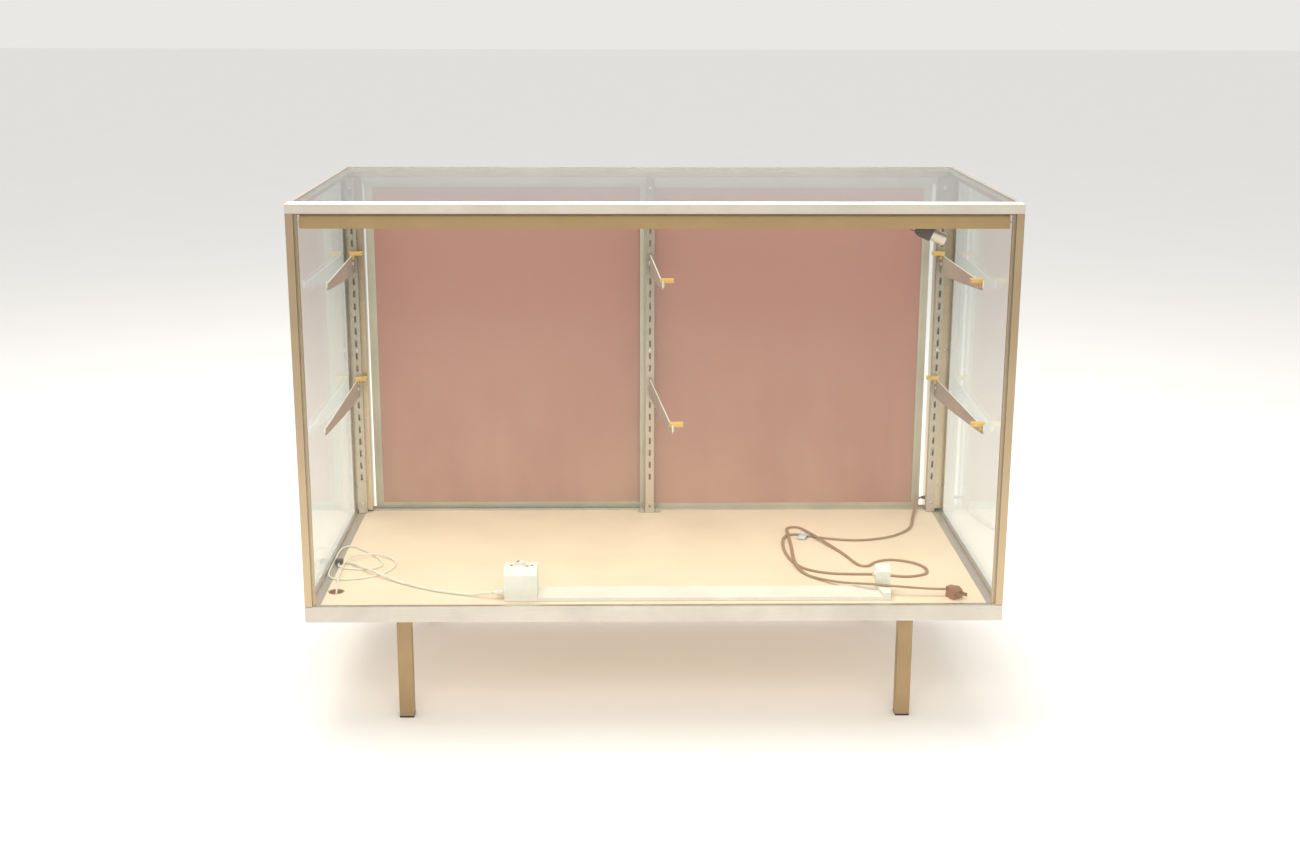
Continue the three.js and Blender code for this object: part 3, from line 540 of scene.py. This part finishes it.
def lengthwise(x):
    """A matrix that takes an outline's (y, z) points to the plane at x and extrudes it along x."""
    turn = Matrix(((0, 0, 1, 0), (1, 0, 0, 0), (0, 1, 0, 0), (0, 0, 0, 1)))
    return Matrix.Translation((x, 0, 0)) @ turn


def screw_head(form, at, direction, radius, height):
    """A low domed head with a cross recess, its flat back on the point at."""
    rim = 0.25
    dome = [(radius, 0), (radius, height * rim)]
    for share in (0.9, 0.7, 0.48, 0.3, 0.15):
        dome.append((radius * share, height * (1 - (1 - rim) * share ** 3)))
    lathe(form, dome + [(0, height)], facing(direction, at), dent=height * 0.35)


# --- Cords ----------------------------------------------------------------------------------------

def smooth_line(points, step=0.0025):
    """A centripetal spline through the points, cut into short steps."""
    padded = [2 * points[0] - points[1], *points, 2 * points[-1] - points[-2]]
    line = []
    for a, b, c, d in zip(padded, padded[1:], padded[2:], padded[3:]):
        first, middle, last = ((q - p).length ** 0.5 for p, q in ((a, b), (b, c), (c, d)))
        leave = (b - a) / first - (c - a) / (first + middle) + (c - b) / middle
        arrive = (c - b) / middle - (d - b) / (middle + last) + (d - c) / last
        leave, arrive = leave * middle, arrive * middle
        count = max(2, round((c - b).length / step))
        for k in range(count):
            t = k / count
            line.append(
                b * (2 * t ** 3 - 3 * t ** 2 + 1) + leave * (t ** 3 - 2 * t ** 2 + t)
                + c * (3 * t ** 2 - 2 * t ** 3) + arrive * (t ** 3 - t ** 2))
    return line + [points[-1]]


def round_line(name, line, radius, resolution, material):
    """A round cord or wire, as one open spline along the line."""
    data = bpy.data.curves.new(name, "CURVE")
    data.dimensions = "3D"
    data.bevel_depth = radius
    data.bevel_resolution = resolution
    data.use_fill_caps = True
    spline = data.splines.new("POLY")
    spline.points.add(len(line) - 1)
    for point, at in zip(spline.points, line):
        point.co = (*at, 1)
    spline.use_smooth = True
    cord = bpy.data.objects.new(name, data)
    bpy.context.scene.collection.objects.link(cord)
    data.materials.append(MATERIALS[material])
    return cord


def round_cord(name, line, radius, node):
    """A round white cord that stands for its CAD solid."""
    cord = round_line(name, line, radius, 4, "white_cord")
    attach(cord, "case")
    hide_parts(node)
    return cord


def course(line, index, reach):
    """The direction along a line at one of its points, and the level direction across it."""
    low, high = max(index - reach, 0), min(index + reach, len(line) - 1)
    along = (line[high] - line[low]).normalized()
    return along, along.cross(Vector((0, 0, 1))).normalized()


def twin_cord(name, line, size, node, material):
    """A flat cord of two wires side by side, swept along the line with its width kept level."""
    width, thick = size
    lobe = thick / 2
    offset = width / 2 - lobe
    first_angle, angle_step, lobe_points = -112, 28, 9
    profile = []
    for side in (1, -1):
        for k in range(lobe_points):
            angle = math.radians(first_angle + angle_step * k)
            profile.append((side * (offset + lobe * math.cos(angle)), side * lobe * math.sin(angle)))
    form = bmesh.new()
    rings = []
    for k, at in enumerate(line):
        along, across = course(line, k, 1)
        over = across.cross(along)
        rings.append([form.verts.new(at + across * u + over * v) for u, v in profile])
    skin(form, rings)
    form.faces.new(rings[0])
    form.faces.new(rings[-1])
    cord = finished(name, form, material, smooth=50)
    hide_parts(node)
    return cord


def cord_tag(line, near):
    """A small clear tag folded round the cord and lying forward on the deck."""
    centre = min(line, key=lambda p: (p - Vector(near)).length)
    along, across = course(line, line.index(centre), 2)
    if across.y > 0:
        across.negate()
    over = Vector((0, 0, 1))
    half_length, film = 0.0085, 0.00025
    # The outline in millimetres: an open loop round the cord, and a leaf of two layers.
    leaf = [(6, 3.6), (15, 4.4), (24, 1.6), (27, 0.6)]
    angles = [math.radians(25 + 26 * k) for k in range(12)]
    loop = [(2.9 * math.cos(angle), 2.2 * math.sin(angle)) for angle in angles]
    outline = leaf[::-1] + loop + [(u, v - 0.8) for u, v in leaf]
    form = bmesh.new()
    rings = []
    for share in (-1, -0.5, 0, 0.5, 1):
        start = centre + along * (share * half_length)
        rings.append([form.verts.new(start + across * (u * MM) + over * (v * MM)) for u, v in outline])
    for low, high in zip(rings, rings[1:]):
        for k in range(len(outline) - 1):
            form.faces.new((low[k], low[k + 1], high[k + 1], high[k]))
    tag = finished("cord_tag", form, "tag", smooth=60)
    shell = tag.modifiers.new("film", "SOLIDIFY")
    shell.thickness = film
    return tag


def add_cords():
    """The white supply cord and lead, and the flat brown cord with its plug and tag."""
    supply = smooth_line([Vector(p) for p in SUPPLY_ROUTE])
    cord = round_cord("supply_cord", supply, SUPPLY_RADIUS, "white_supply_cord")
    lead = smooth_line([Vector(p) for p in LEAD_ROUTE])
    cord = round_cord("lead_cord", lead, LEAD_RADIUS, "white_lead")
    brown = smooth_line([Vector(p) for p in BROWN_ROUTE])
    cord = twin_cord("mains_cord", brown, BROWN_SIZE, "brown_cord", "brown_cord")
    tag = cord_tag(brown, (*TAG_PLACE, DECK_TOP))


# --- Small pieces ---------------------------------------------------------------------------------

def add_root_rests():
    """The right-hand brackets carry a second rest at the root, a mirror of the left-hand ones."""
    shift = Matrix.Translation((BAY_X["left"] + BAY_X["right"], 0, 0))
    mirror = shift @ Matrix.Scale(-1, 4, (1, 0, 0))
    for level in ("upper", "lower"):
        form = bmesh.new()
        form.from_mesh(NODES[f"shelf_rest_{level}_left"].data)
        bmesh.ops.transform(form, matrix=mirror, verts=form.verts)
        finished(f"shelf_rest_root_{level}", form, "amber")


def add_heads(name, heads):
    """One steel piece made of domed heads, from (place, direction, radius, height) rows."""
    form = bmesh.new()
    for place, direction, radius, height in heads:
        screw_head(form, Vector(place), direction, radius, height)
    finished(name, form, "bright_steel", smooth=50)


def add_rivets_and_screws():
    """Domed rivets on the bracket blades, and the screws of the standards and rear posts."""
    forward = (0, -1, 0)
    rivets = []
    for level in ("upper", "lower"):
        for bay, side in RIVET_SIDE.items():
            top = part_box(f"bracket_{level}_{bay}")[1].z
            place = (BAY_X[bay] + side * RIVET_SKIN[bay], STANDARD_FRONT - RIVET_OUT, top - RIVET_DROP)
            rivets.append((place, (side, 0, 0), 0.0056, 0.003))
    add_heads("bracket_rivets", rivets)
    add_heads("standard_screws", [
        ((x, STANDARD_FRONT, z), forward, 0.0034, 0.0018)
        for x in BAY_X.values() for z in STANDARD_SCREW_HEIGHTS])
    add_heads("post_screws", [
        ((x, REAR_POST_FACE, z), forward, radius, 0.0012) for x, z, radius in POST_SCREWS])


def add_bracket_highlights():
    """Painted highlights: bright strips on the top and front edges of the bracket blades."""
    half = 0.0011
    form = bmesh.new()
    for level, reach in BRACKET_REACH.items():
        for bay, x in BAY_X.items():
            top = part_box(f"bracket_{level}_{bay}")[1].z - BRACKET_BLADE_DROP
            turn = Matrix.Rotation(math.radians(BRACKET_SKEW[level][bay]), 4, "Z")
            top_edge = (-reach + 0.0085, -0.003, top, 0.00025)
            front_edge = (-reach - 0.0003, -reach, top - 0.007, 0.013)
            # Painted highlight strips along each blade's top and front edge.
            for front, back, low, tall in (top_edge, front_edge):
                outline = [(-half, front), (half, front), (half, back), (-half, back)]
                prism(form, outline, tall, Matrix.Translation((x, STANDARD_FRONT, low)) @ turn)
    finished("bracket_edge_highlights", form, "highlight_edge")


def add_standard_shoe():
    """A shoe round the foot of the centre standard, with two rounded ears and a dark sheet of painted
    shade for the slot in its face.
    """
    half, wall, web_width, ear_thickness = 0.0096, 0.0013, 0.009, 0.0026
    front = STANDARD_FRONT - 0.0016
    ear_y = front + 0.0055
    form = bmesh.new()
    face = [
        (-half, 0), (half, 0), (half, 0.0125), (0.0055, 0.0155), (-0.0055, 0.0155), (-half, 0.0125)]
    prism(form, face, wall, upright((0, front + wall, DECK_REST)))
    for side in (-1, 1):
        ear = ellipse(side * 0.0072, 0.0055, 20)
        prism(form, ear, ear_thickness, Matrix.Translation((side * 0.0165, ear_y, DECK_REST)))
        screw = Vector((side * 0.0175, ear_y, DECK_REST + ear_thickness))
        screw_head(form, screw, (0, 0, 1), 0.003, 0.0014)
        web = [(0, 0), (web_width, 0), (web_width, 0.003), (0, 0.011)]
        left = -half - web_width
        if side > 0:
            web = [(web_width - x, z) for x, z in web]
            left = half
        prism(form, web, 0.0012, upright((left, front + 0.0068, DECK_REST)))
    finished("standard_shoe", form, "standard_pale", smooth=40, bevel=0.0004)

    # Painted shade: a thin dark sheet stands for the slot's shaded opening.
    form = bmesh.new()
    slot_height = DECK_REST + 0.0128
    prism(form, ellipse(0.0024, 0.0015, 16), 0.0002, upright((0, front + 0.0001, slot_height)))
    finished("shoe_slot_shade", form, "dark")


def add_valance_clips():
    """A bent steel clip at each end of the valance, hooked over its lip."""
    valance_low, valance_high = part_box("light_valance")
    top, back, width = valance_high.z, valance_low.y + 0.012, 0.010
    form = bmesh.new()
    for side in (-1, 1):
        end = side * valance_high.x
        outer = side * 0.0068
        spans = (
            (0, top - 0.0030, top - 0.0005),
            (0.82, top - 0.0155, top - 0.0030),
            (0.1, top - 0.0155, top - 0.0143),
        )
        for share, low, high in spans:
            left, right = sorted((end + outer * share, end + outer))
            strip = [(left, low), (right, low), (right, high), (left, high)]
            prism(form, strip, width, upright((0, back, 0)))
    finished("valance_clips", form, "bright_steel", bevel=0.0003)


def add_lamp_fittings():
    """The collar, screw and short lead of the right lampholder, and the bead of its starter can."""
    along = Vector((math.cos(SOCKET_TILT), 0, -math.sin(SOCKET_TILT)))
    across = Vector((math.sin(SOCKET_TILT), 0, math.cos(SOCKET_TILT)))
    collar = [(0.0088, 0), (0.0088, 0.0032), (0.0070, 0.0040), (0.0070, 0.0024), (0, 0.0024)]
    form = bmesh.new()
    lathe(form, collar, facing(-along, SOCKET - along * 0.010 - across * 0.003))
    screw_head(form, SOCKET - across * 0.006 + Vector((0, -0.011, 0)), (0, -1, 0), 0.0036, 0.0016)
    finished("lampholder_collar", form, "dark", smooth=40)

    can_end = SOCKET + along * (SOCKET_FRONT + GAP + STARTER_LENGTH)
    bead = [(0.0107, -0.0045), (0.0110, -0.0040), (0.0110, -0.0030), (0.0107, -0.0025)]
    form = bmesh.new()
    lathe(form, bead, facing(along, can_end))
    finished("starter_bead", form, "can", smooth=40)

    route = (
        (0.4395, -0.2700, 0.8785), (0.4360, -0.2730, 0.8795), (0.4320, -0.2750, 0.8812),
        (0.4280, -0.2765, 0.8826), (0.4247, -0.2780, 0.8838))
    line = smooth_line([Vector(p) for p in route], 0.001)
    wire = round_line("lampholder_wire", line, 0.0007, 2, "dark")
    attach(wire, "case")


def add_strip_light_cover():
    """The lapped end of the box's cover, the channel's front flange and the end holder's ribs."""
    top, bottom = DECK_REST + STRIP_HEIGHT, DECK_TOP + 0.004
    front, rear = STRIP_FRONT, STRIP_FRONT + STRIP_DEPTH
    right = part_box("strip_light_box")[1].x
    shell = [
        (front, bottom), (front, top - 0.0106), (front + 0.0166, top),
        (rear - 0.0166, top), (rear, top - 0.0106), (rear, bottom)]
    lap = 0.0005
    grown = [
        (front - lap, bottom), (front - lap, top - 0.0104), (front + 0.0165, top + lap),
        (rear - 0.0165, top + lap), (rear + lap, top - 0.0104), (rear + lap, bottom)]
    form = bmesh.new()
    prism(form, grown + shell[::-1], 0.0075, lengthwise(right - 0.0073))
    flange = [
        (front - 0.0008, DECK_REST), (front - 0.0008, DECK_TOP + 0.0045),
        (front, DECK_TOP + 0.0052), (front, DECK_REST)]
    prism(form, flange, right - STRIP_LEFT, lengthwise(STRIP_LEFT))
    end_front = front + STRIP_END_STEP
    rib_front, rib_width = end_front - 0.0006, 0.0022
    for rib in (0.0055, 0.0130, 0.0205):
        rise = [
            (rib_front, DECK_TOP + 0.0150), (rib_front, DECK_TOP + 0.0350),
            (end_front, DECK_TOP + 0.0358), (end_front, DECK_TOP + 0.0150)]
        prism(form, rise, rib_width, lengthwise(STRIP_END + rib - rib_width / 2))
    finished("strip_light_cover", form, "white_paint", bevel=0.0002)


def add_strip_light_contact():
    """The lamp contact on the end holder: a ring and a pin, with painted shade darkening the gap between
    them.
    """
    place = (STRIP_END, STRIP_FRONT + STRIP_END_STEP + 0.0073, DECK_TOP + 0.0305)
    contact = facing((-1, 0, 0), place)
    form = bmesh.new()
    lathe(form, [(0.0068, 0), (0.0068, 0.0026), (0.0058, 0.0032), (0.0058, 0.0004)], contact)
    lathe(form, [(0.0026, 0), (0.0026, 0.0044), (0.0020, 0.0050)], contact)
    finished("strip_light_contact", form, "white_paint", smooth=40)
    # Painted shade: a dark ring fills the gap between the ring and the pin.
    form = bmesh.new()
    lathe(form, [(0.0056, 0.0005), (0.0056, 0.0024), (0.0028, 0.0024), (0.0028, 0.0007)], contact)
    finished("strip_light_contact_shade", form, "dark", smooth=40)


def add_strip_light_openings():
    """Dark discs of painted shade for the holes in the box's top, a dark crescent of painted shade on its
    starter, and the collar round the starter.
    """
    top = DECK_REST + STRIP_HEIGHT
    form = bmesh.new()
    # Painted shade: shallow dark discs stand for the holes' shaded insides.
    for x, y in STRIP_HOLES:
        ring = [(0.0027, -0.0008), (0.0027, 0.0002), (0, 0.0002)]
        lathe(form, ring, Matrix.Translation((x, y, top)), segments=16)
    x, y = STRIP_STARTER
    outer, inner = 0.0062, 0.0030
    # Painted shade: a dark crescent on the left of the starter's top.
    angles = [math.radians(100 + 14 * k) for k in range(10)]
    starter_gap_shade = [(outer * math.cos(angle), outer * math.sin(angle)) for angle in angles]
    starter_gap_shade += [(inner * u / outer, inner * v / outer) for u, v in reversed(starter_gap_shade)]
    can_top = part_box("strip_light_starter")[1].z
    prism(form, starter_gap_shade, 0.0002, Matrix.Translation((x, y, can_top)))
    finished("strip_light_hole_shade", form, "dark", smooth=40)

    collar = [(0.0112, 0), (0.0112, 0.0016), (0.0104, 0.0022), (0.0089, 0.0022), (0.0089, 0)]
    form = bmesh.new()
    rings = [
        [form.verts.new((x + u, y + v, top + height)) for u, v in ellipse(radius, radius, 28)]
        for radius, height in collar]
    skin(form, rings, closed=True)
    finished("strip_light_collar", form, "white_paint", smooth=40)


def add_cord_gland():
    """Three rings round the supply cord where it leaves the box."""
    y, lift, bevel, width = SUPPLY_ROUTE[0][1], 0.010, 0.0005, 0.0027
    form = bmesh.new()
    for step, radius in ((0, 0.0062), (0.0045, 0.0062), (0.009, 0.0066)):
        waist = radius - 0.0006
        ring = [(waist, 0), (radius, bevel), (radius, width - bevel), (waist, width)]
        place = (STRIP_LEFT - 0.0135 + step, y, DECK_REST + lift)
        lathe(form, ring, facing((1, 0, 0), place), segments=20)
    finished("cord_gland", form, "white_paint", smooth=40)


def add_deck_hole_rim():
    """Bare board round the cord hole, where the laminate is cut away unevenly."""
    x, y = CORD_HOLE
    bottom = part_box("deck_panel")[0].z
    count, hole, edge = 48, 0.0129, 0.0138
    outside = ((hole, bottom + 0.0005, 0), (hole, DECK_TOP, 0), (edge, DECK_TOP + 0.0002, 1))
    form = bmesh.new()
    rings = []
    for radius, height, rough in outside:
        ring = []
        for k in range(count):
            angle = math.tau * k / count
            wave = 0.0005 * math.sin(3 * angle + 0.6) + 0.0004 * math.sin(7 * angle)
            wave += 0.0002 * math.sin(13 * angle)
            reach = radius + rough * (0.0006 + wave)
            place = (x + reach * math.cos(angle), y + reach * math.sin(angle), height)
            ring.append(form.verts.new(place))
        rings.append(ring)
    inner = []
    for ring, shrink, drop in ((rings[2], 0.0012, 0), (rings[1], 0.0006, -0.0006), (rings[0], 0.0006, 0)):
        share = 1 - shrink / 0.0135
        inner.append([
            form.verts.new((x + (v.co.x - x) * share, y + (v.co.y - y) * share, v.co.z + drop))
            for v in ring])
    skin(form, rings + inner, closed=True)
    finished("deck_hole_rim", form, "raw_board", smooth=30)


# --- Studio ---------------------------------------------------------------------------------------

WARM = (1.0, 0.93, 0.82)
FLOOR_HALF = 40


def add_light(name, energy, size, place, target, colour):
    data = bpy.data.lights.new(name, "AREA")
    data.energy = energy
    data.shape = "RECTANGLE"
    data.size, data.size_y = size
    data.color = colour
    light = bpy.data.objects.new(name, data)
    bpy.context.scene.collection.objects.link(light)
    light.location = place
    light.rotation_euler = (Vector(target) - Vector(place)).to_track_quat("-Z", "Y").to_euler()


def add_studio():
    """A plain pale floor, a white surround and large soft lamps."""
    mesh = bpy.data.meshes.new("floor")
    form = bmesh.new()
    bmesh.ops.create_grid(form, x_segments=1, y_segments=1, size=FLOOR_HALF)
    form.to_mesh(mesh)
    form.free()
    floor = bpy.data.objects.new("floor", mesh)
    bpy.context.scene.collection.objects.link(floor)
    s = Shader("floor")
    tone = s.mixed(s.noise(3, 4), (0.93, 0.93, 0.925), (0.90, 0.90, 0.895))
    s.surface(tone, s.span(s.noise(8, 3), 0.85, 0.95))
    mesh.materials.append(s.material)

    world = bpy.data.worlds.new("world")
    world.use_nodes = True
    background = world.node_tree.nodes["Background"]
    background.inputs["Color"].default_value = (1.0, 0.985, 0.96, 1)
    background.inputs["Strength"].default_value = 0.82
    bpy.context.scene.world = world
    add_light("key", 92, (2.6, 2.6), (-0.3, 0.7, 3.2), (0, 0.1, 0.2), WARM)
    add_light("front", 65, (3.0, 2.0), (0, -3.4, 2.6), (0, 0, 0.4), WARM)
    bpy.context.scene.view_settings.view_transform = "Standard"


add_camera()
dress_frame()
add_cords()
add_root_rests()
add_rivets_and_screws()
add_bracket_highlights()
add_standard_shoe()
add_valance_clips()
add_lamp_fittings()
add_strip_light_cover()
add_strip_light_contact()
add_strip_light_openings()
add_cord_gland()
add_deck_hole_rim()
add_studio()
